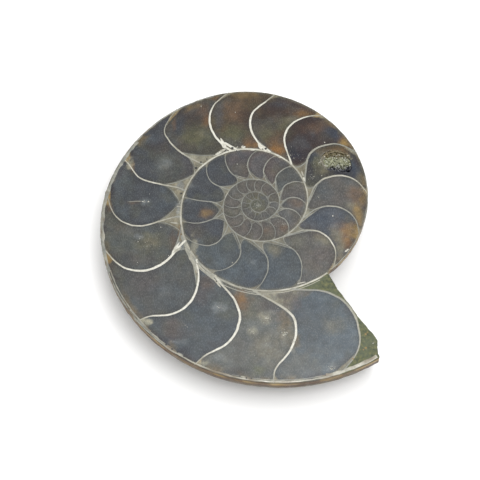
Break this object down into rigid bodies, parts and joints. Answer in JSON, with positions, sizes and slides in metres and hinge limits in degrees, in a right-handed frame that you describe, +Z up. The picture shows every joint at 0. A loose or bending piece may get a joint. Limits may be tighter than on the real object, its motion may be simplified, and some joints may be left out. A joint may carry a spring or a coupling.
{
  "type": "ammonite fossil half",
  "caption": "Coiled ammonite fossil sawn in half and polished, lying on its domed flank with the chambered cut face up and a broken aperture.",
  "frame": {"origin": "bottom centre of the part's box, on the surface it lies on", "axes": "+Z up, out of the cut face, which leans 2.6 degrees as the half rests on its domed flank; +Y along the face towards the side opposite the aperture; +X to the right"},
  "size_m": [0.0878, 0.101, 0.0159],
  "materials": {
    "fossil_stone": "polished cut face in slate grey and brown with cream walls; the domed outside is worn, satin, cream and brown",
    "crystal_crust": "small glassy crystal points, pale yellow-green"
  },
  "bodies": {
    "root": {"ammonite_half": "fossil_stone", "vug_crystals": "crystal_crust"}
  },
  "joints": []
}
